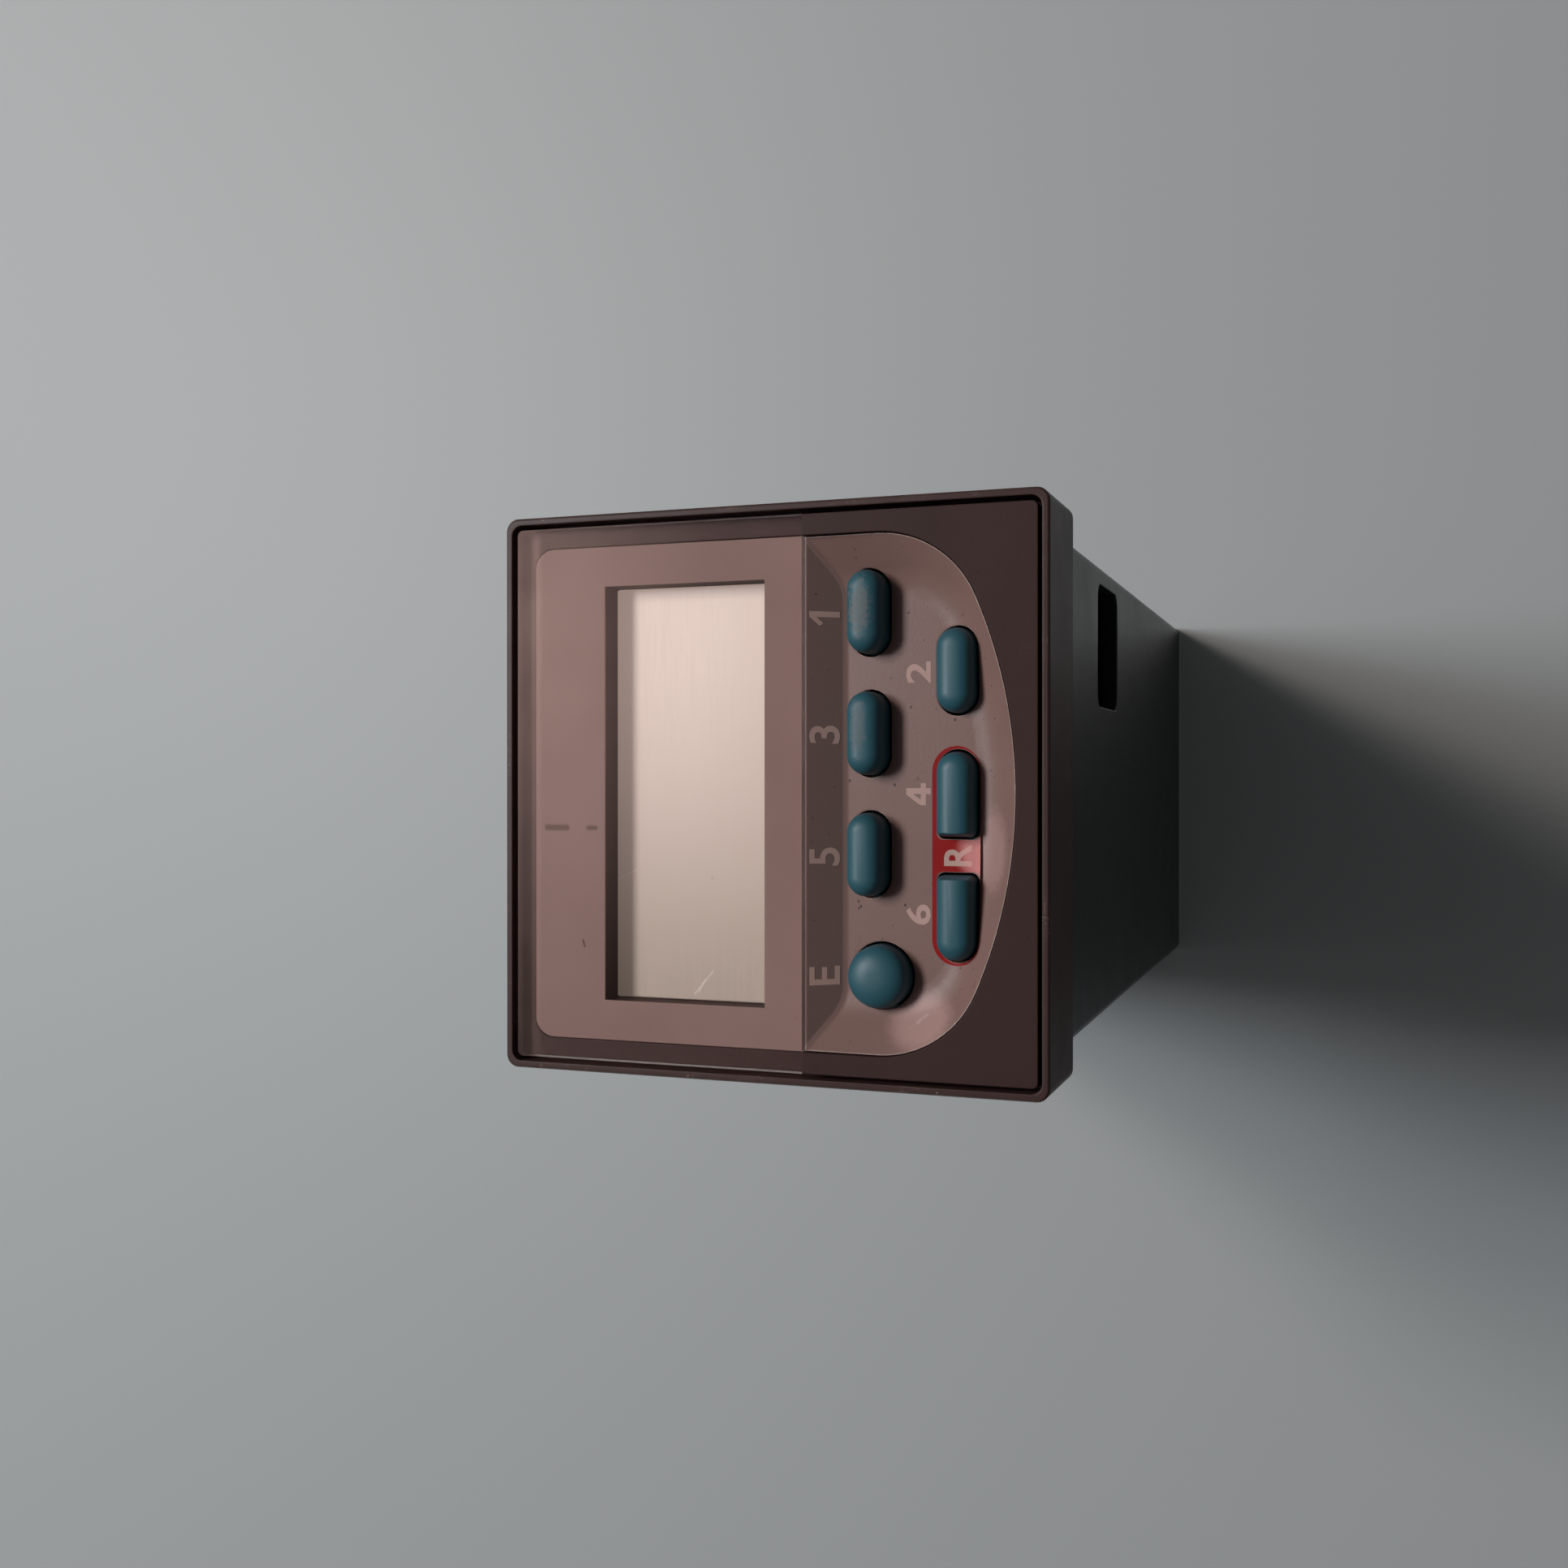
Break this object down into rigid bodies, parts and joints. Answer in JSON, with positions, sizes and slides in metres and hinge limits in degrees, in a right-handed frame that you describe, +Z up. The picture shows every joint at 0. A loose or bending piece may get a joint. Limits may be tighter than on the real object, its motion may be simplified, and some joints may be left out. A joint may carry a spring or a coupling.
{
  "type": "digital panel counter",
  "caption": "Square panel-mount electronic counter: flanged front with a windowed liquid crystal display over a dished keypad, and a long boxy housing with screw terminals at its rear.",
  "frame": {"origin": "middle of the panel cut-out, on the panel's front surface where the back of the bezel seats", "axes": "+X to the right across the face, +Y into the panel towards the rear, +Z up the face"},
  "size_m": [0.048, 0.102, 0.048],
  "materials": {
    "bezel_plastic": "moulded, fine texture, dark brown",
    "fascia_plastic": "moulded, matt, dark brown",
    "clear_window": "clear acrylic, glossy",
    "mask_print": "printed film, taupe",
    "dish_plastic": "moulded, satin, taupe",
    "key_plastic": "moulded, matt, teal",
    "mat_rubber": "silicone rubber, grey",
    "strip_rubber": "layered conductive rubber",
    "display_glass": "liquid crystal cell, pale grey, blank",
    "reflector_film": "silvered film",
    "frame_plastic": "moulded, white",
    "board_laminate": "glass-fibre laminate, green solder resist",
    "chip_epoxy": "moulded epoxy, black",
    "header_plastic": "moulded, black",
    "can_metal": "drawn can",
    "core_steel": "stacked steel laminations",
    "coil_copper": "enamelled copper wire under tape",
    "relay_plastic": "moulded, blue",
    "housing_plastic": "moulded, satin, black",
    "cover_plastic": "moulded, black",
    "terminal_plastic": "moulded, dark grey",
    "screw_steel": "zinc-plated steel",
    "clamp_metal": "tinned brass"
  },
  "bodies": {
    "instrument": {"bezel_frame": "bezel_plastic", "front_panel": "fascia_plastic", "display_window": "clear_window", "display_mask": "mask_print", "keypad_bowl": "dish_plastic", "key_mat": "mat_rubber", "contact_strip_upper": "strip_rubber", "contact_strip_lower": "strip_rubber", "lcd_front_glass": "display_glass", "lcd_rear_glass": "display_glass", "lcd_reflector": "reflector_film", "lcd_frame": "frame_plastic", "display_board": "board_laminate", "upper_board": "board_laminate", "lower_board": "board_laminate", "display_driver": "chip_epoxy", "controller_chip": "chip_epoxy", "memory_chip": "chip_epoxy", "optocoupler_1": "chip_epoxy", "optocoupler_2": "chip_epoxy", "optocoupler_3": "chip_epoxy", "rectifier": "chip_epoxy", "regulator": "chip_epoxy", "header_upper": "header_plastic", "header_lower": "header_plastic", "crystal": "can_metal", "filter_capacitor": "can_metal", "transformer_core": "core_steel", "transformer_winding": "coil_copper", "relay": "relay_plastic", "housing": "housing_plastic", "rear_cover": "cover_plastic", "terminal_block_upper": "terminal_plastic", "terminal_block_lower": "terminal_plastic", "terminal_screws_upper": "screw_steel", "terminal_screws_lower": "screw_steel", "wire_clamps_upper": "clamp_metal", "wire_clamps_lower": "clamp_metal"},
    "key_enter": {"key_enter": "key_plastic"},
    "key_1": {"key_1": "key_plastic"},
    "key_2": {"key_2": "key_plastic"},
    "key_3": {"key_3": "key_plastic"},
    "key_4": {"key_4": "key_plastic"},
    "key_5": {"key_5": "key_plastic"},
    "key_6": {"key_6": "key_plastic"}
  },
  "joints": [
    {"name": "key_enter_press", "type": "slide", "parent": "instrument", "child": "key_enter", "axis": [0, 1, 0], "range_m": [0, 0.0008], "stiffness_N_per_m": 1500},
    {"name": "key_1_press", "type": "slide", "parent": "instrument", "child": "key_1", "axis": [0, 1, 0], "range_m": [0, 0.0008], "stiffness_N_per_m": 1500},
    {"name": "key_2_press", "type": "slide", "parent": "instrument", "child": "key_2", "axis": [0, 1, 0], "range_m": [0, 0.0008], "stiffness_N_per_m": 1500},
    {"name": "key_3_press", "type": "slide", "parent": "instrument", "child": "key_3", "axis": [0, 1, 0], "range_m": [0, 0.0008], "stiffness_N_per_m": 1500},
    {"name": "key_4_press", "type": "slide", "parent": "instrument", "child": "key_4", "axis": [0, 1, 0], "range_m": [0, 0.0008], "stiffness_N_per_m": 1500},
    {"name": "key_5_press", "type": "slide", "parent": "instrument", "child": "key_5", "axis": [0, 1, 0], "range_m": [0, 0.0008], "stiffness_N_per_m": 1500},
    {"name": "key_6_press", "type": "slide", "parent": "instrument", "child": "key_6", "axis": [0, 1, 0], "range_m": [0, 0.0008], "stiffness_N_per_m": 1500}
  ]
}
